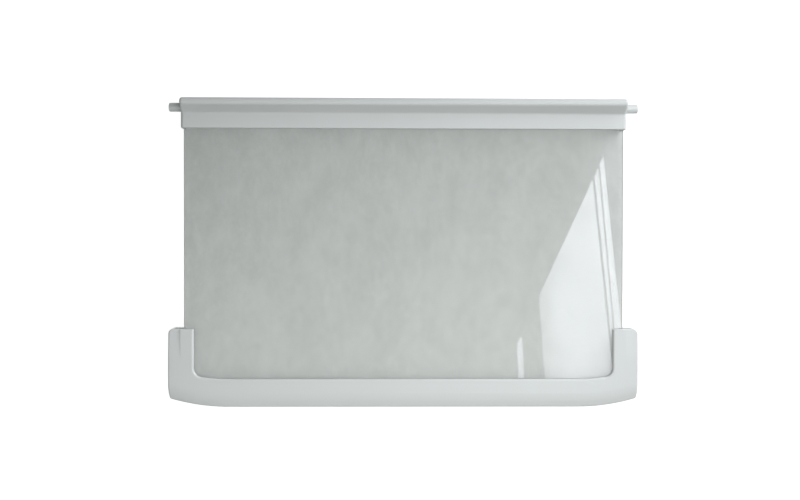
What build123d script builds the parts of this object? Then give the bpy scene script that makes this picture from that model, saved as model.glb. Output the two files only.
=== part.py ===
from build123d import *
import math
import os

# Fridge glass shelf: a toughened pane held by a U-shaped front trim and a rear trim with two pegs.
# Frame: X across the shelf, +Y to the rear, +Z up. The origin is under the middle of the shelf,
# on the surface that it lies on. All sizes are in millimetres and degrees.

# Glass pane
PANE_WIDTH = 444.0
PANE_DEPTH = 280.0
PANE_THICKNESS = 4.0
PANE_CORNER_RADIUS = 4.0
PANE_ARRIS = 0.6

# Both mouldings
WALL = 2.5
WEB = 2.0
LOWER_LIP = 2.2
LIP_HEIGHT = 9.2
LIP_SETBACK = 3.0
SLOT_CLEARANCE = 0.2
RIB_THICKNESS = 1.6
RIB_PITCH = 44.0
RIB_FOOT_CLEARANCE = 1.0

# Front trim
NOSE_REACH = 15.0
FRONT_OVERLAP = 13.3
SHOULDER_REACH = 15.5
SIDE_OVERLAP = 10.3
ARM_LENGTH = 79.0
SWEEP_RUN = 61.0
SWEEP_RADIUS = 210.0
FLANK_RUN = 22.0
FLANK_RADIUS = 55.0
FRONT_CORNER_RADIUS = 2.5
TIP_CORNER_RADIUS = 5.0
BAY_CORNER_RADIUS = 8.5
NOSE_RUN = 14.0
NOSE_RADIUS = 50.0
OUTER_ROUND = 1.4
LIP_ROUND = 2.2
TIP_ROUND = 0.8
RAMP_WIDTH = 12.3
RAMP_LENGTH = 28.0
RAMP_DROP = 1.2

# Rear trim
REAR_REACH = 16.0
REAR_OVERLAP = 14.0
STOP_HEIGHT = 9.0
STOP_SLOPE_ANGLE = 48.0
CREST_FLAT = 0.5
CREST_BACK_RADIUS = 4.0
CREST_FRONT_RADIUS = 4.5
COVE_RADIUS = 3.5
FLANGE_ROUND = 1.0
END_ROUND = 2.8

# Pegs
PEG_DIAMETER = 9.0
PEG_LENGTH = 13.2
PEG_SETBACK = 8.2
PEG_AXIS_HEIGHT = 8.0
PEG_ROOT_DEPTH = 6.0
PEG_TIP_ROUND = 1.2

# Heights and places that follow from the sizes above
PANE_BOTTOM = LIP_HEIGHT + LOWER_LIP
PANE_TOP = PANE_BOTTOM + PANE_THICKNESS
SLOT_TOP = PANE_TOP + SLOT_CLEARANCE
TRIM_TOP = SLOT_TOP + WALL
CREST_TOP = TRIM_TOP + STOP_HEIGHT
FRONT_Y = -(NOSE_REACH + PANE_DEPTH + REAR_REACH) / 2
REAR_Y = -FRONT_Y
PANE_FRONT_Y = FRONT_Y + NOSE_REACH
PANE_REAR_Y = REAR_Y - REAR_REACH
HALF_PANE = PANE_WIDTH / 2
HALF_WIDTH = HALF_PANE + SHOULDER_REACH
TIP_Y = FRONT_Y + ARM_LENGTH
BAR_WIDTH = NOSE_REACH + FRONT_OVERLAP
BAY_HALF_WIDTH = HALF_PANE - SIDE_OVERLAP
SWEEP_X = HALF_WIDTH - SWEEP_RUN
SWEEP_CENTRE_Y = FRONT_Y + SWEEP_RADIUS
FLANGE_DEPTH = REAR_REACH + REAR_OVERLAP
REAR_HALF_LENGTH = HALF_PANE + SLOT_CLEARANCE + WALL

# Room by which a cutting shape runs past what it cuts, and how near a point counts as on a line
PAST = 10 * WALL
ON_LINE = 0.01 * WALL


def block(x_range, y_range, z_range):
    """A box between the given limits on each axis."""
    ranges = (x_range, y_range, z_range)
    middle = [(low + high) / 2 for low, high in ranges]
    spans = [high - low for low, high in ranges]
    return Pos(*middle) * Box(*spans)


def both_sides(half):
    """A shape and its mirror image across the middle of the shelf, as one."""
    return half + mirror(half, about=Plane.YZ)


def round_corners(face, x, y, radius):
    """Round the corner of a plan face at (x, y) and the one opposite it."""
    corners = [face.vertices().sort_by_distance((side * x, y, 0))[0] for side in (1, -1)]
    return fillet(corners, radius)


def rim_edges(body, wire, lowest):
    """The edges of a body that run above a plan wire, higher than a given level, uprights left out."""
    found = []
    for edge in body.edges():
        middle = edge @ 0.5
        is_upright = edge.bounding_box().size.Z > edge.length - ON_LINE
        if middle.Z > lowest and not is_upright and wire.distance_to((middle.X, middle.Y, 0)) < ON_LINE:
            found.append(edge)
    return found


def rib_places(start, end):
    """Even places between two ends, no further apart than the rib pitch, with none at the ends."""
    bays = math.ceil((end - start) / RIB_PITCH)
    return [start + (end - start) * place / bays for place in range(1, bays)]


# The seat of the pane, which both mouldings share

def pane_space(margin, z_range):
    """The pane's plan with a margin all round, between two heights."""
    half = HALF_PANE + margin
    return block((-half, half), (PANE_FRONT_Y - margin, PANE_REAR_Y + margin), z_range)


def pane_slot():
    """The slot that the pane is pushed into."""
    return pane_space(SLOT_CLEARANCE, (PANE_BOTTOM, SLOT_TOP))


def pane_seat():
    """The lower lip under the slot and the web behind it, as one block with the slot filled in."""
    return pane_space(SLOT_CLEARANCE + WEB, (LIP_HEIGHT, TRIM_TOP))


def under_pane(y_range):
    """The space under the pane between two places from front to rear, down past the trims."""
    half = HALF_PANE + SLOT_CLEARANCE
    return block((-half, half), y_range, (-PAST, PANE_BOTTOM))


# Glass pane

def glass_pane():
    """The pane, with rounded corners and an arris along both rims."""
    plate = extrude(RectangleRounded(PANE_WIDTH, PANE_DEPTH, PANE_CORNER_RADIUS), amount=PANE_THICKNESS)
    levels = plate.edges().group_by(Axis.Z)
    plate = chamfer(levels[0] + levels[-1], PANE_ARRIS)
    return Pos(0, (PANE_FRONT_Y + PANE_REAR_Y) / 2, PANE_BOTTOM) * plate


# Front trim

def front_corner():
    """Where the swept front edge crosses the drawn-in flank."""
    flank_x = HALF_WIDTH - FLANK_RADIUS
    flank_y = FRONT_Y + FLANK_RUN
    across = SWEEP_X - flank_x
    along = SWEEP_CENTRE_Y - flank_y
    apart = math.hypot(across, along)
    share = (FLANK_RADIUS**2 - SWEEP_RADIUS**2 + apart**2) / (2 * apart)
    aside = math.sqrt(FLANK_RADIUS**2 - share**2)
    x = flank_x + (share * across + aside * along) / apart
    y = flank_y + (share * along - aside * across) / apart
    return x, y


def front_outline():
    """Plan of the front trim with its bay filled in."""
    corner = front_corner()
    flank_top = (HALF_WIDTH, FRONT_Y + FLANK_RUN)
    edge = Line((0, FRONT_Y), (SWEEP_X, FRONT_Y))
    edge += RadiusArc((SWEEP_X, FRONT_Y), corner, -SWEEP_RADIUS)
    edge += RadiusArc(corner, flank_top, -FLANK_RADIUS)
    edge += Polyline(flank_top, (HALF_WIDTH, TIP_Y), (0, TIP_Y), (0, FRONT_Y))
    outline = both_sides(make_face(edge))
    outline = round_corners(outline, *corner, FRONT_CORNER_RADIUS)
    return round_corners(outline, HALF_WIDTH, TIP_Y, TIP_CORNER_RADIUS)


def front_bay():
    """Plan of the bay between the arms, open to the rear."""
    inner_radius = SWEEP_RADIUS - BAR_WIDTH
    inner_y = FRONT_Y + BAR_WIDTH
    corner_y = SWEEP_CENTRE_Y - math.sqrt(inner_radius**2 - (BAY_HALF_WIDTH - SWEEP_X) ** 2)
    corner = (BAY_HALF_WIDTH, corner_y)
    open_y = TIP_Y + PAST
    edge = Line((0, inner_y), (SWEEP_X, inner_y))
    edge += RadiusArc((SWEEP_X, inner_y), corner, -inner_radius)
    edge += Polyline(corner, (BAY_HALF_WIDTH, open_y), (0, open_y), (0, inner_y))
    return round_corners(both_sides(make_face(edge)), *corner, BAY_CORNER_RADIUS)


def nose_relief(inset):
    """What is cut away over the rounded nose, along the straight front and its two sweeps."""
    centre_height = TRIM_TOP - NOSE_RADIUS
    height = NOSE_RADIUS + PAST
    run = NOSE_RUN + NOSE_RADIUS
    blank = Pos(NOSE_RUN - run / 2, centre_height + height / 2) * Rectangle(run, height)
    section = blank - Pos(NOSE_RUN, centre_height) * Circle(NOSE_RADIUS - inset)
    face = Plane(origin=(SWEEP_X, FRONT_Y, 0), x_dir=(0, 1, 0), z_dir=(1, 0, 0)) * section
    straight = extrude(face, amount=2 * SWEEP_X, dir=(-1, 0, 0))
    turn = math.degrees(math.asin((SWEEP_RUN + PAST) / SWEEP_RADIUS))
    swept = revolve(face, Axis((SWEEP_X, SWEEP_CENTRE_Y, 0), (0, 0, 1)), turn)
    return [straight, swept, mirror(swept, about=Plane.YZ)]


def front_form(inset, base):
    """The front trim's outer form from a base level up, drawn in by an inset, with its bay filled in."""
    plan = offset(front_outline(), -inset) if inset else front_outline()
    body = Pos(0, 0, base) * extrude(plan, amount=TRIM_TOP - inset - base)
    return body - nose_relief(inset)


def arm_ramps():
    """The shallow lead-ins cut along the outer side of each arm's tip."""
    start_y = TIP_Y - RAMP_LENGTH
    profile = Polyline(
        (start_y, TRIM_TOP),
        (TIP_Y, TRIM_TOP - RAMP_DROP),
        (TIP_Y + PAST, TRIM_TOP - RAMP_DROP),
        (TIP_Y + PAST, TRIM_TOP + PAST),
        (start_y, TRIM_TOP + PAST),
        close=True,
    )
    side = Plane.YZ.offset(HALF_WIDTH - RAMP_WIDTH) * make_face(profile)
    wedge = extrude(side, amount=RAMP_WIDTH + PAST)
    return [wedge, mirror(wedge, about=Plane.YZ)]


def front_ribs():
    """Stiffening ribs between the skin and the web, across the nose and across both arms."""
    half = RIB_THICKNESS / 2
    web_middle = SLOT_CLEARANCE + WEB / 2
    heights = (RIB_FOOT_CLEARANCE, TRIM_TOP)
    plates = []
    for x in rib_places(-HALF_PANE, HALF_PANE):
        plates.append(block((x - half, x + half), (FRONT_Y, PANE_FRONT_Y - web_middle), heights))
    for y in rib_places(FRONT_Y, TIP_Y):
        plate = block((HALF_PANE + web_middle, HALF_WIDTH), (y - half, y + half), heights)
        plates += [plate, mirror(plate, about=Plane.YZ)]
    within = front_form(WALL / 2, 0)
    return [within & plate for plate in plates]


def tip_edges(body):
    """The top edges of the arm tips, beside the lead-ins."""
    return body.faces().filter_by(Axis.Y).sort_by(Axis.Y)[-2:].edges().group_by(Axis.Z)[-1]


def front_shell():
    """The front trim's outer form with its bay open, its lead-ins cut and its edges rounded."""
    outline = front_outline()
    bay = front_bay()
    body = front_form(0, 0) - extrude(bay, amount=TRIM_TOP + PAST) - arm_ramps()
    tips = tip_edges(body)
    outer_edges = [edge for edge in rim_edges(body, outline.wire(), LIP_HEIGHT) if edge not in tips]
    body = fillet(outer_edges, OUTER_ROUND)
    body = fillet(rim_edges(body, bay.wire(), SLOT_TOP), LIP_ROUND)
    return fillet(tip_edges(body), TIP_ROUND)


def front_lip_relief():
    """What is cut away under the pane, so that the lower lip stops short of the upper one."""
    bay = extrude(offset(front_bay(), LIP_SETBACK), amount=PANE_BOTTOM + PAST)
    return [Pos(0, 0, -PAST) * bay, under_pane((TIP_Y - LIP_SETBACK, TIP_Y + PAST))]


def front_trim():
    """The U-shaped moulding: a skin over the nose and the shoulders, with a slot for the pane."""
    hollow = front_form(WALL, -PAST) - pane_seat()
    return front_shell() - hollow + front_ribs() - pane_slot() - front_lip_relief()


# Rear trim

def rear_section(front_edge, base):
    """Section of the rear trim with its slot filled in: forward from its rear face, and up."""
    angle = math.radians(STOP_SLOPE_ANGLE)
    crest_edge = CREST_BACK_RADIUS + CREST_FLAT + CREST_FRONT_RADIUS * math.tan(angle / 2)
    foot = crest_edge + STOP_HEIGHT / math.tan(angle)
    rounds = {
        (0, CREST_TOP): CREST_BACK_RADIUS,
        (crest_edge, CREST_TOP): CREST_FRONT_RADIUS,
        (foot, TRIM_TOP): COVE_RADIUS,
    }
    corners = [(0, base), *rounds, (front_edge, TRIM_TOP), (front_edge, base)]
    section = make_face(Polyline(*corners, close=True))
    for corner, radius in rounds.items():
        section = fillet(section.vertices().sort_by_distance((*corner, 0))[0], radius)
    return section


def rear_run(section, half_length):
    """The rear trim's section run out to both sides."""
    plane = Plane(origin=(half_length, REAR_Y, 0), x_dir=(0, -1, 0), z_dir=(-1, 0, 0))
    return extrude(plane * section, amount=2 * half_length)


def rear_form():
    """The rear trim's outer form, with rounded ends and a rounded front edge."""
    body = rear_run(rear_section(FLANGE_DEPTH, 0), REAR_HALF_LENGTH)
    front_y = REAR_Y - FLANGE_DEPTH
    ends = body.edges().group_by(Axis.X)
    end_edges = [edge for edge in ends[0] + ends[-1] if (edge @ 0.5).Z > ON_LINE]
    body = fillet([edge for edge in end_edges if (edge @ 0.5).Y > front_y + ON_LINE], END_ROUND)
    front_edges = body.faces().sort_by(Axis.Y)[0].edges()
    upper = [edge for edge in front_edges if (edge @ 0.5).Z > TRIM_TOP - END_ROUND]
    return fillet(upper, FLANGE_ROUND)


def rear_hollow():
    """The space under the rear trim's skin, open below and to the front."""
    section = rear_section(FLANGE_DEPTH + PAST, -PAST)
    return rear_run(offset(section, -WALL), REAR_HALF_LENGTH - WALL) - pane_seat()


def rear_ribs():
    """Stiffening ribs between the rear wall and the web."""
    half = RIB_THICKNESS / 2
    y_range = (PANE_REAR_Y + SLOT_CLEARANCE + WEB / 2, REAR_Y)
    heights = (RIB_FOOT_CLEARANCE, CREST_TOP)
    plates = [block((x - half, x + half), y_range, heights) for x in rib_places(-HALF_PANE, HALF_PANE)]
    within = rear_run(offset(rear_section(FLANGE_DEPTH, -PAST), -WALL / 2), REAR_HALF_LENGTH)
    return [within & plate for plate in plates]


def pegs():
    """The two pegs that stand out from the rear trim's ends, in line with each other."""
    length = PEG_ROOT_DEPTH + WALL + PEG_LENGTH
    peg = Cylinder(PEG_DIAMETER / 2, length, align=(Align.CENTER, Align.CENTER, Align.MIN))
    peg = fillet(peg.edges().sort_by(Axis.Z)[-1], PEG_TIP_ROUND)
    root = (REAR_HALF_LENGTH - WALL - PEG_ROOT_DEPTH, REAR_Y - PEG_SETBACK, PEG_AXIS_HEIGHT)
    right = Plane(origin=root, z_dir=(1, 0, 0)) * peg
    return [right, mirror(right, about=Plane.YZ)]


def rear_lip_relief():
    """What is cut away under the pane, so that the lower lip stops short of the flange above it."""
    front_y = REAR_Y - FLANGE_DEPTH
    return under_pane((front_y - PAST, front_y + LIP_SETBACK))


def rear_trim():
    """The moulding along the pane's rear edge: a back stop, a slot for the pane and two pegs."""
    return rear_form() - rear_hollow() + rear_ribs() + pegs() - pane_slot() - rear_lip_relief()


os.makedirs("parts", exist_ok=True)
for make in (glass_pane, front_trim, rear_trim):
    export_step(make(), f"parts/{make.__name__}.step")
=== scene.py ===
"""Dress a refrigerator's glass shelf: one toughened pane held by two moulded trims.

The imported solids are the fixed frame. The trims keep their own meshes and get a moulded
plastic finish. The pane is drawn again as a sheet of glass with ground edges.
"""

import logging
import math
from dataclasses import dataclass
from enum import Enum
from typing import Any

import bpy
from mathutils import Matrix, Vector


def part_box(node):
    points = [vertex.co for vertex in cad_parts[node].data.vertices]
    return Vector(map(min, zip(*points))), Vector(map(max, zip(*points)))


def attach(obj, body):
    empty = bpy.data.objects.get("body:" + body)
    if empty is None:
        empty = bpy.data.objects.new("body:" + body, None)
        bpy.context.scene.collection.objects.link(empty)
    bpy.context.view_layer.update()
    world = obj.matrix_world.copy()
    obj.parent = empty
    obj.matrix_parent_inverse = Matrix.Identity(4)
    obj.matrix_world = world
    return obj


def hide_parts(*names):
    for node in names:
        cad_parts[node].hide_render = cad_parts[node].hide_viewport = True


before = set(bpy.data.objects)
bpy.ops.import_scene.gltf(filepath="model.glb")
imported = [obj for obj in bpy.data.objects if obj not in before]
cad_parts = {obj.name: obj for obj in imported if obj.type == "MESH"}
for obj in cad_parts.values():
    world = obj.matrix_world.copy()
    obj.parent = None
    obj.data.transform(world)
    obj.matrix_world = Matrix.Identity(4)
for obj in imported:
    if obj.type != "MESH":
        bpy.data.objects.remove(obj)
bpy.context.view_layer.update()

log = logging.getLogger("glass_shelf")

MM = 0.001
WHOLE_PART = "root"
PANE_NODE = "glass_pane"
FRONT_NODE = "front_trim"
REAR_NODE = "rear_trim"
PANE_PIECE = "toughened_pane"
FLOOR = "studio_floor"
ALL_BUT_FRONT_TRIM = (FLOOR, PANE_PIECE, REAR_NODE)
CLOUD_MIDDLE = 0.5
MARK_LAYERS = 3

Colour = tuple[float, float, float]
Point = tuple[float, float]


class Wiring:
    """A node tree with short ways to add nodes and join them."""

    def __init__(self, tree: bpy.types.NodeTree) -> None:
        """Keep the tree that the nodes go into."""
        self.tree = tree

    def add(self, kind: str, feeds: dict[str | int, Any] | None = None, **settings: Any) -> bpy.types.Node:
        """Add one node.

        Args:
            kind: the node's type, as Blender names it.
            feeds: what goes into its inputs, by name or number: a value, or a socket to link.
            settings: the node's own properties.

        Returns:
            The new node.
        """
        node = self.tree.nodes.new(kind)
        for name, value in settings.items():
            setattr(node, name, value)
        for name, value in (feeds or {}).items():
            self.feed(node.inputs[name], value)
        return node

    def feed(self, socket: bpy.types.NodeSocket, value: Any) -> None:
        """Link a socket to another one, or set its plain value."""
        if isinstance(value, bpy.types.NodeSocket):
            self.tree.links.new(value, socket)
        else:
            socket.default_value = value

    def math(self, operation: str, *values: Any) -> bpy.types.NodeSocket:
        """Return the result of one sum on numbers or sockets."""
        return self.add("ShaderNodeMath", dict(enumerate(values)), operation=operation).outputs[0]

    def cloud(
        self, place: bpy.types.NodeSocket, size: float, detail: float = 2.0, fine_share: float = 0.5
    ) -> bpy.types.NodeSocket:
        """Make soft random patches.

        Args:
            place: the coordinates that the patches lie in.
            size: about how wide one patch is, in metres.
            detail: how many finer layers are added.
            fine_share: how strong each finer layer is, beside the one before it.

        Returns:
            A number from 0 to 1 that varies over the surface.
        """
        feeds = {"Vector": place, "Scale": 1 / size, "Detail": detail, "Roughness": fine_share}
        return self.add("ShaderNodeTexNoise", feeds).outputs[0]

    def spread(
        self, value: bpy.types.NodeSocket, low: float, high: float, reach: float = 0.2
    ) -> bpy.types.NodeSocket:
        """Stretch the middle of a cloud's range to run from low to high."""
        span = {"From Min": CLOUD_MIDDLE - reach, "From Max": CLOUD_MIDDLE + reach}
        feeds = {"Value": value, **span, "To Min": low, "To Max": high}
        return self.add("ShaderNodeMapRange", feeds).outputs[0]

    def blend(self, share: bpy.types.NodeSocket, first: Colour, second: Colour) -> bpy.types.NodeSocket:
        """Mix two colours by a share that varies over the surface."""
        node = self.add("ShaderNodeMix", data_type="RGBA")
        self.feed(node.inputs["Factor"], share)
        for socket, colour in zip([s for s in node.inputs if s.type == "RGBA"], (first, second)):
            socket.default_value = (*colour, 1)
        return next(s for s in node.outputs if s.type == "RGBA")

    def for_camera(self, seen: float, otherwise: float) -> bpy.types.NodeSocket:
        """Return one level where the camera looks straight at a thing, and another for all other light."""
        straight = self.add("ShaderNodeLightPath").outputs["Is Camera Ray"]
        levels = {"Value": straight, "To Min": otherwise, "To Max": seen}
        return self.add("ShaderNodeMapRange", levels).outputs[0]


def bare_material(name: str) -> tuple[bpy.types.Material, Wiring, bpy.types.Node, bpy.types.NodeSocket]:
    """Start a material that is patterned in the piece's own coordinates.

    Args:
        name: the material's name.

    Returns:
        The material, its wiring, its surface shader and the Object coordinates.
    """
    material = bpy.data.materials.new(name)
    material.use_nodes = True
    material.node_tree.nodes.clear()
    wiring = Wiring(material.node_tree)
    surface = wiring.add("ShaderNodeBsdfPrincipled")
    wiring.add("ShaderNodeOutputMaterial", {"Surface": surface.outputs[0]})
    place = wiring.add("ShaderNodeTexCoord").outputs["Object"]
    return material, wiring, surface, place


class Grain(Enum):
    """How the mould left a plastic face."""

    EVEN = (1.0, 1.0, 1.0)
    LENGTHWISE = (0.012, 1.0, 1.0)


@dataclass(frozen=True)
class MouldedPlastic:
    """Satin moulded plastic with a fine grain and slightly cloudy colour."""

    name: str
    grain: Grain
    tint: Colour = (0.600, 0.624, 0.620)
    shade: Colour = (0.574, 0.597, 0.592)
    smooth: float = 0.28
    rough: float = 0.33
    patch_size: float = 60 * MM
    mark_size: float = 4 * MM
    grain_size: float = 0.9 * MM
    grain_height: float = 0.02 * MM

    def material(self) -> bpy.types.Material:
        """Return the finish as a node material."""
        material, wiring, surface, place = bare_material(self.name)
        drawn = wiring.add("ShaderNodeMapping", {"Vector": place, "Scale": self.grain.value}).outputs[0]
        patches = wiring.cloud(place, self.patch_size)
        marks = wiring.cloud(drawn, self.mark_size, detail=MARK_LAYERS)
        grain = wiring.cloud(drawn, self.grain_size)
        relief = wiring.add("ShaderNodeBump", {"Height": grain, "Distance": self.grain_height})
        wiring.feed(surface.inputs["Base Color"], wiring.blend(patches, self.shade, self.tint))
        wiring.feed(surface.inputs["Roughness"], wiring.spread(marks, self.smooth, self.rough))
        wiring.feed(surface.inputs["Normal"], relief.outputs[0])
        return material


@dataclass(frozen=True)
class PaneGlass:
    """Polished sheet glass with a cool green cast and faint handling marks."""

    name: str = "pane_glass"
    tint: Colour = (0.890, 0.922, 0.900)
    film: Colour = (0.968, 1.000, 0.978)
    film_size: float = 34 * MM
    film_drag: tuple[float, float, float] = (1.0, 0.65, 1.0)
    film_layers: int = 6
    film_fineness: float = 0.95
    film_reach: float = 0.1
    smudge_size: float = 26 * MM
    clean: float = 0.0
    smudged: float = 0.02
    index: float = 1.52

    def material(self) -> bpy.types.Material:
        """Return the finish as a node material."""
        material, wiring, surface, place = bare_material(self.name)
        dragged = wiring.add("ShaderNodeMapping", {"Vector": place, "Scale": self.film_drag}).outputs[0]
        film = wiring.cloud(dragged, self.film_size, self.film_layers, self.film_fineness)
        smudges = wiring.cloud(place, self.smudge_size, detail=MARK_LAYERS)
        surface.inputs["Transmission Weight"].default_value = 1
        surface.inputs["IOR"].default_value = self.index
        share = wiring.spread(film, 0, 1, self.film_reach)
        wiring.feed(surface.inputs["Base Color"], wiring.blend(share, self.tint, self.film))
        wiring.feed(surface.inputs["Roughness"], wiring.spread(smudges, self.clean, self.smudged))
        return material


@dataclass(frozen=True)
class GroundEdge:
    """The pane's ground rim: frosted and greener than its faces, and darkened with painted shade for the
    dark line that an edge shows through the glass.
    """

    name: str = "ground_edge"
    # Both rim colours are the ground edge's own green plus painted shade: the dark line that a glass edge
    # shows from above is painted into them.
    pale: Colour = (0.20, 0.29, 0.25)
    deep: Colour = (0.12, 0.19, 0.16)
    clearness: float = 0.4
    roughness: float = 0.38
    index: float = 1.52
    streak_size: float = 1.6 * MM
    streak_height: float = 0.02 * MM

    def material(self) -> bpy.types.Material:
        """Return the finish as a node material."""
        material, wiring, surface, place = bare_material(self.name)
        streaks = wiring.cloud(place, self.streak_size, detail=MARK_LAYERS)
        relief = wiring.add("ShaderNodeBump", {"Height": streaks, "Distance": self.streak_height})
        surface.inputs["Transmission Weight"].default_value = self.clearness
        surface.inputs["IOR"].default_value = self.index
        surface.inputs["Roughness"].default_value = self.roughness
        # The streaks mix two dark colours: the rim's green with painted shade.
        wiring.feed(surface.inputs["Base Color"], wiring.blend(streaks, self.deep, self.pale))
        wiring.feed(surface.inputs["Normal"], relief.outputs[0])
        return material


@dataclass(frozen=True)
class PaleFloor:
    """A matt pale floor, washed out to white where the camera looks straight at it."""

    name: str = "pale_floor"
    light: Colour = (0.445, 0.445, 0.445)
    shade: Colour = (0.43, 0.43, 0.43)
    glow: float = 0.166
    seen_glow: float = 0.85
    roughness: float = 0.8
    patch_size: float = 0.4

    def material(self) -> bpy.types.Material:
        """Return the finish as a node material."""
        material, wiring, surface, place = bare_material(self.name)
        patches = wiring.cloud(place, self.patch_size)
        surface.inputs["Roughness"].default_value = self.roughness
        surface.inputs["Specular IOR Level"].default_value = 0
        surface.inputs["Emission Color"].default_value = (1, 1, 1, 1)
        wiring.feed(surface.inputs["Emission Strength"], wiring.for_camera(self.seen_glow, self.glow))
        wiring.feed(surface.inputs["Base Color"], wiring.blend(patches, self.shade, self.light))
        material.cycles.emission_sampling = "NONE"
        return material


@dataclass
class ToughenedPane:
    """The glass sheet, as a rounded rectangle with its edges ground all round."""

    node: str = PANE_NODE
    name: str = PANE_PIECE
    corner_radius: float = 4 * MM
    corner_steps: int = 12
    arris: float = 0.6 * MM
    arris_steps: int = 2
    arris_angle: float = math.radians(50)
    flat_share: float = 0.99
    rim_limit: float = 0.5
    rest_gap: float = 0.05 * MM
    faces: PaneGlass = PaneGlass()
    rim: GroundEdge = GroundEdge()

    def inputs(self) -> dict[str, tuple[str, Any]]:
        """Return the tree's named inputs, each with its socket type and its value."""
        low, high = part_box(self.node)
        low.z += self.rest_gap
        size = high - low
        middle = (low + high) / 2
        return {
            "Width": ("NodeSocketFloat", size.x),
            "Depth": ("NodeSocketFloat", size.y),
            "Thickness": ("NodeSocketFloat", size.z),
            "Underside": ("NodeSocketVector", (middle.x, middle.y, low.z)),
            "Corner Radius": ("NodeSocketFloat", self.corner_radius),
            "Corner Steps": ("NodeSocketInt", self.corner_steps),
            "Face Glass": ("NodeSocketMaterial", self.faces.material()),
            "Rim Glass": ("NodeSocketMaterial", self.rim.material()),
        }

    def tree(self, inputs: dict[str, tuple[str, Any]]) -> bpy.types.NodeTree:
        """Build the Geometry Nodes tree that draws the sheet.

        Args:
            inputs: the named inputs, each with its socket type.

        Returns:
            The node tree, which makes its geometry from its inputs alone.
        """
        tree = bpy.data.node_groups.new("pane_from_sizes", "GeometryNodeTree")
        for name, (kind, _) in inputs.items():
            tree.interface.new_socket(name, in_out="INPUT", socket_type=kind)
        tree.interface.new_socket("Pane", in_out="OUTPUT", socket_type="NodeSocketGeometry")
        wiring = Wiring(tree)
        sizes = wiring.add("NodeGroupInput").outputs
        outline = wiring.add(
            "GeometryNodeCurvePrimitiveQuadrilateral", {"Width": sizes["Width"], "Height": sizes["Depth"]}
        )
        rounded = wiring.add(
            "GeometryNodeFilletCurve",
            {"Curve": outline.outputs[0], "Count": sizes["Corner Steps"], "Radius": sizes["Corner Radius"]},
            mode="POLY",
        )
        base = wiring.add("GeometryNodeFillCurve", {"Curve": rounded.outputs[0]}, mode="NGONS").outputs[0]
        lift = {"Geometry": base, "Offset": sizes["Underside"]}
        placed = wiring.add("GeometryNodeSetPosition", lift).outputs[0]
        raised = wiring.add("GeometryNodeExtrudeMesh", {"Mesh": placed, "Offset Scale": sizes["Thickness"]})
        underside = wiring.add("GeometryNodeFlipFaces", {"Mesh": placed})
        both = wiring.add("GeometryNodeJoinGeometry")
        tree.links.new(underside.outputs[0], both.inputs[0])
        tree.links.new(raised.outputs["Mesh"], both.inputs[0])
        closed = wiring.add("GeometryNodeMergeByDistance", {"Geometry": both.outputs[0]})
        upward = wiring.add("ShaderNodeSeparateXYZ", {0: wiring.add("GeometryNodeInputNormal").outputs[0]})
        sideways = wiring.math("LESS_THAN", wiring.math("ABSOLUTE", upward.outputs["Z"]), self.rim_limit)
        whole = wiring.add("GeometryNodeRealizeInstances", {"Geometry": closed.outputs[0]}).outputs[0]
        clear = wiring.add("GeometryNodeSetMaterial", {"Geometry": whole, "Material": sizes["Face Glass"]})
        edged = wiring.add(
            "GeometryNodeSetMaterial",
            {"Geometry": clear.outputs[0], "Selection": sideways, "Material": sizes["Rim Glass"]},
        )
        wiring.add("NodeGroupOutput", {0: edged.outputs[0]})
        return tree

    def build(self) -> bpy.types.Object:
        """Draw the sheet, grind its edges and turn it into a plain mesh.

        Returns:
            The finished pane, at the origin.
        """
        pane = bpy.data.objects.new(self.name, bpy.data.meshes.new(self.name))
        bpy.context.scene.collection.objects.link(pane)
        inputs = self.inputs()
        drawing = pane.modifiers.new("drawing", "NODES")
        drawing.node_group = self.tree(inputs)
        for socket in drawing.node_group.interface.items_tree:
            if socket.in_out == "INPUT":
                drawing[socket.identifier] = inputs[socket.name][1]
        grinding = pane.modifiers.new("grinding", "BEVEL")
        grinding.limit_method = "ANGLE"
        grinding.angle_limit = self.arris_angle
        grinding.width = self.arris
        grinding.segments = self.arris_steps
        grinding.material = 1
        evaluated = pane.evaluated_get(bpy.context.evaluated_depsgraph_get())
        mesh = bpy.data.meshes.new_from_object(evaluated)
        pane.modifiers.clear()
        pane.data = mesh
        mesh.name = self.name
        for face in mesh.polygons:
            face.use_smooth = abs(face.normal.z) < self.flat_share
        return pane

    def fit(self) -> None:
        """Put the sheet in place of the plain solid."""
        pane = self.build()
        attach(pane, WHOLE_PART)
        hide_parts(self.node)
        log.info("%s: %d faces", pane.name, len(pane.data.polygons))


@dataclass
class MouldedTrim:
    """One plastic trim, which keeps its solid's own shape."""

    node: str
    finish: MouldedPlastic

    def dress(self) -> None:
        """Give the trim's solid its moulded finish."""
        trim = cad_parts[self.node]
        trim.data.materials.clear()
        trim.data.materials.append(self.finish.material())
        log.info("%s: %s", self.node, self.finish.name)


@dataclass(frozen=True)
class Softbox:
    """A large even light panel, turned to face the middle of the shelf."""

    name: str
    place: tuple[float, float, float]
    width: float
    height: float
    watts: float
    colour: Colour = (1.0, 1.0, 1.0)
    passes_over: tuple[str, ...] = ()

    def hang(self) -> None:
        """Add the light and turn it to the shelf."""
        light = bpy.data.lights.new(self.name, "AREA")
        light.shape = "RECTANGLE"
        light.size = self.width
        light.size_y = self.height
        light.energy = self.watts
        light.color = self.colour
        panel = bpy.data.objects.new(self.name, light)
        panel.location = self.place
        panel.rotation_euler = (-Vector(self.place)).to_track_quat("-Z", "Y").to_euler()
        bpy.context.scene.collection.objects.link(panel)
        self.spare(panel)
        log.info("%s: %.1f W", self.name, self.watts)

    def spare(self, panel: bpy.types.Object) -> None:
        """Keep the light off the objects that it passes over."""
        if not self.passes_over:
            return
        spared = bpy.data.collections.new(f"{self.name}_spares")
        for name in self.passes_over:
            spared.objects.link(bpy.data.objects[name])
        for entry in spared.collection_objects:
            entry.light_linking.link_state = "EXCLUDE"
        panel.light_linking.receiver_collection = spared


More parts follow.
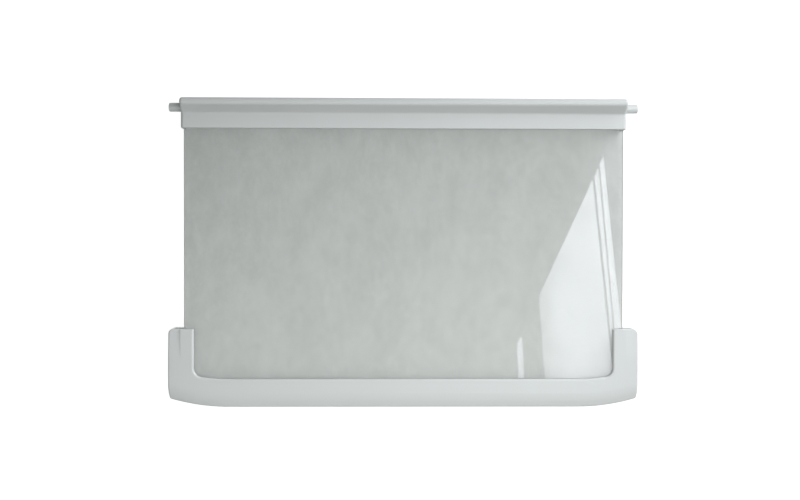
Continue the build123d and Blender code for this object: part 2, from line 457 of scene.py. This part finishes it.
@dataclass
class Camera:
    """The eye above the shelf, almost plumb, with the rear of the shelf at the top of the picture."""

    name: str = "camera_above"
    place: tuple[float, float, float] = (-21.7 * MM, 17.4 * MM, 1.0146)
    turn_deg: tuple[float, float, float] = (-0.81, -1.0, 0.12)
    lens_mm: float = 44.49
    sensor_mm: float = 36.0

    def stand(self) -> None:
        """Add the camera and look through it."""
        data = bpy.data.cameras.new(self.name)
        data.lens = self.lens_mm
        data.sensor_width = self.sensor_mm
        eye = bpy.data.objects.new(self.name, data)
        eye.location = self.place
        eye.rotation_euler = [math.radians(angle) for angle in self.turn_deg]
        bpy.context.scene.collection.objects.link(eye)
        bpy.context.scene.camera = eye


def hang_face_light(
    name: str, place: tuple[float, float, float], width: float, depth: float, watts: float, colour: Colour
) -> tuple[Wiring, bpy.types.NodeSocket, bpy.types.NodeSocket]:
    """Hang a panel that faces down and whose strength can vary over its face.

    Args:
        name: the light's name.
        place: the middle of its face.
        width: its size across the shelf.
        depth: its size from the front to the rear.
        watts: its power at a strength of 1 all over.
        colour: the light's tint.

    Returns:
        Its wiring, and how far a spot on its face lies to the right and to the rear, each from 0 to 1.
    """
    light = bpy.data.lights.new(name, "AREA")
    light.shape = "RECTANGLE"
    light.size = width
    light.size_y = depth
    light.energy = watts
    light.color = colour
    light.use_nodes = True
    panel = bpy.data.objects.new(name, light)
    panel.location = place
    bpy.context.scene.collection.objects.link(panel)
    log.info("%s: %.1f W", name, watts)
    wiring = Wiring(light.node_tree)
    spot = wiring.add("ShaderNodeNewGeometry").outputs["Parametric"]
    face = wiring.add("ShaderNodeSeparateXYZ", {0: spot})
    return wiring, face.outputs["X"], face.outputs["Y"]


@dataclass(frozen=True)
class OverheadPanel:
    """A broad panel, brighter to the right and to the front, and dimmer again at its right end."""

    name: str = "overhead_panel"
    level: float = 1.014
    width: float = 1.04
    depth: float = 0.72
    watts: float = 10.0
    colour: Colour = (0.99, 1.01, 1.0)
    rise_right: float = 0.44
    level_off: float = 0.067
    rise_front: float = 0.456
    fall_right: tuple[float, float] = (0.86, 0.96)
    fall_share: float = 0.35

    def hang(self) -> None:
        """Add the panel above the shelf."""
        wiring, right, rear = hang_face_light(
            self.name, (0.0, 0.0, self.level), self.width, self.depth, self.watts, self.colour
        )
        front_share = wiring.math("MULTIPLY_ADD", rear, -self.rise_front, self.rise_front)
        slope = wiring.math("MULTIPLY_ADD", right, -self.level_off, self.rise_right)
        rise = wiring.math("MULTIPLY_ADD", right, slope, front_share)
        fall = {"Value": right, "From Min": self.fall_right[0], "From Max": self.fall_right[1]}
        fall |= {"To Min": 1.0, "To Max": 1 - self.fall_share}
        kept = wiring.add("ShaderNodeMapRange", fall, interpolation_type="SMOOTHSTEP").outputs[0]
        wiring.feed(wiring.tree.nodes["Emission"].inputs["Strength"], wiring.math("MULTIPLY", rise, kept))


@dataclass
class WindowLight:
    """A light with a window's outline, hung so that the pane mirrors it to the camera.

    Its corners and bars are given where they are seen on the glass.
    """

    eye: tuple[float, float, float]
    mirror_level: float
    name: str = "window_softbox"
    level: float = 1.015
    watts: float = 1.48
    colour: Colour = (0.988, 0.981, 1.075)
    front_fade: float = 0.45
    left_fades: tuple[float, float] = (0.15, 0.4)
    left_fade_width: float = 20 * MM
    opening: tuple[Point, ...] = (
        (202 * MM, 99 * MM), (137 * MM, -43 * MM), (144 * MM, -140 * MM), (228 * MM, -140 * MM)
    )
    bars: tuple[tuple[Point, Point, float], ...] = (
        ((192.5 * MM, 72 * MM), (208.5 * MM, -75 * MM), 2.2 * MM),
        ((198 * MM, 84 * MM), (213.3 * MM, -75 * MM), 1.5 * MM),
    )
    slit: tuple[Point, ...] = (
        (120 * MM, -84 * MM), (115 * MM, -91 * MM), (117 * MM, -140 * MM), (123 * MM, -140 * MM)
    )

    def stretch(self) -> float:
        """Return how much larger the light is than its image on the glass."""
        return 1 + (self.level - self.mirror_level) / (self.eye[2] - self.mirror_level)

    def side(self, wiring: Wiring, here: tuple[Any, Any], start: Point, end: Point) -> bpy.types.NodeSocket:
        """Measure how far a spot on the light lies to the left of a line.

        Args:
            wiring: the light's node tree.
            here: the spot's two coordinates on the glass.
            start: the line's first point.
            end: the line's second point.

        Returns:
            The distance in metres, positive on the left.
        """
        run = Vector(end) - Vector(start)
        normal = Vector((-run.y, run.x)).normalized()
        across = wiring.math("MULTIPLY_ADD", here[0], normal.x, -normal.dot(Vector(start)))
        return wiring.math("MULTIPLY_ADD", here[1], normal.y, across)

    def within(
        self, wiring: Wiring, here: tuple[Any, Any], outline: tuple[Point, ...]
    ) -> bpy.types.NodeSocket:
        """Return 1 inside an outline that runs anticlockwise, and 0 outside it."""
        share: Any = 1.0
        for start, end in zip(outline, outline[1:] + outline[:1]):
            inside = wiring.math("GREATER_THAN", self.side(wiring, here, start, end), 0.0)
            share = wiring.math("MULTIPLY", inside, share)
        return share

    def dimmed(self, wiring: Wiring, inward: bpy.types.NodeSocket, fade: float) -> bpy.types.NodeSocket:
        """Return the share of light that is left at a distance from one of the window's left edges."""
        feeds = {"Value": inward, "From Max": self.left_fade_width, "To Min": 1 - fade}
        return wiring.add("ShaderNodeMapRange", feeds).outputs[0]

    def hang(self) -> None:
        """Add the light above the shelf, facing down."""
        spots = [Vector(spot) for spot in self.opening + self.slit]
        low = Vector(map(min, *spots))
        high = Vector(map(max, *spots))
        eye = Vector(self.eye[:2])
        middle = eye + ((low + high) / 2 - eye) * self.stretch()
        size = (high - low) * self.stretch()
        wiring, right, rear = hang_face_light(
            self.name, (*middle, self.level), *size, self.watts, self.colour
        )
        here = (
            wiring.math("MULTIPLY_ADD", right, high.x - low.x, low.x),
            wiring.math("MULTIPLY_ADD", rear, high.y - low.y, low.y),
        )
        share = self.within(wiring, here, self.opening)
        for fade, start, end in zip(self.left_fades, self.opening, self.opening[1:]):
            kept = self.dimmed(wiring, self.side(wiring, here, start, end), fade)
            share = wiring.math("MULTIPLY", share, kept)
        for start, end, width in self.bars:
            away = wiring.math("ABSOLUTE", self.side(wiring, here, start, end))
            share = wiring.math("MULTIPLY", share, wiring.math("GREATER_THAN", away, width / 2))
        share = wiring.math("ADD", share, self.within(wiring, here, self.slit))
        faded = wiring.math("MULTIPLY_ADD", rear, self.front_fade, 1 - self.front_fade)
        share = wiring.math("MULTIPLY", share, faded)
        wiring.feed(wiring.tree.nodes["Emission"].inputs["Strength"], share)


@dataclass
class Studio:
    """The plain room: a pale floor, faint light all round, softboxes and a light with a window's outline."""

    floor_half: float = 20.0
    floor: PaleFloor = PaleFloor()
    surround: Colour = (0.975, 1.0, 0.93)
    surround_level: float = 0.04
    backdrop_level: float = 0.9
    overhead: OverheadPanel = OverheadPanel()
    softboxes: tuple[Softbox, ...] = (
        Softbox(
            "side_softbox", place=(0.85, 0.6, 0.36), width=0.7, height=0.5, watts=9.6,
            colour=(0.985, 0.987, 1.029),
        ),
        Softbox(
            "front_softbox", place=(0.01, -0.42, 0.64), width=0.9, height=0.3, watts=1.68,
            colour=(0.99, 1.015, 0.998),
        ),
        Softbox("nose_softbox", place=(0.2, -0.9, 0.35), width=0.9, height=0.3, watts=0.9),
        Softbox("rear_softbox", place=(0.42, 0.48, 0.75), width=0.5, height=0.35, watts=1.1),
        Softbox(
            "edge_softbox", place=(1.15, -0.05, 0.14), width=0.9, height=0.16, watts=1.6,
            passes_over=ALL_BUT_FRONT_TRIM,
        ),
        Softbox(
            "tips_softbox", place=(0.0, 1.15, 0.14), width=0.9, height=0.16, watts=3.4,
            passes_over=ALL_BUT_FRONT_TRIM,
        ),
    )

    def lay_floor(self) -> None:
        """Lay the floor at the level that the shelf rests on."""
        half = self.floor_half
        corners = [(-half, -half, 0), (half, -half, 0), (half, half, 0), (-half, half, 0)]
        mesh = bpy.data.meshes.new(FLOOR)
        mesh.from_pydata(corners, [], [(0, 1, 2, 3)])
        mesh.materials.append(self.floor.material())
        ground = bpy.data.objects.new(FLOOR, mesh)
        bpy.context.scene.collection.objects.link(ground)

    def light(self, camera: Camera) -> None:
        """Light the room faintly before a pale backdrop, then hang the softboxes and the window light."""
        world = bpy.data.worlds.new("studio_surround")
        world.use_nodes = True
        sky = world.node_tree.nodes["Background"]
        sky.inputs["Color"].default_value = (*self.surround, 1)
        wiring = Wiring(world.node_tree)
        wiring.feed(sky.inputs["Strength"], wiring.for_camera(self.backdrop_level, self.surround_level))
        bpy.context.scene.world = world
        for panel in (self.overhead, *self.softboxes):
            panel.hang()
        WindowLight(camera.place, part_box(PANE_NODE)[1].z).hang()

    def set_up(self) -> None:
        """Make the whole studio, with plain display colours."""
        camera = Camera()
        camera.stand()
        self.lay_floor()
        self.light(camera)
        bpy.context.scene.view_settings.view_transform = "Standard"


def main() -> None:
    """Build and dress the shelf piece by piece, then set up the studio."""
    logging.basicConfig(level=logging.INFO, format="%(message)s")
    ToughenedPane().fit()
    MouldedTrim(FRONT_NODE, MouldedPlastic("front_plastic", Grain.EVEN)).dress()
    MouldedTrim(REAR_NODE, MouldedPlastic("rear_plastic", Grain.LENGTHWISE)).dress()
    Studio().set_up()


if __name__ == "__main__":
    main()
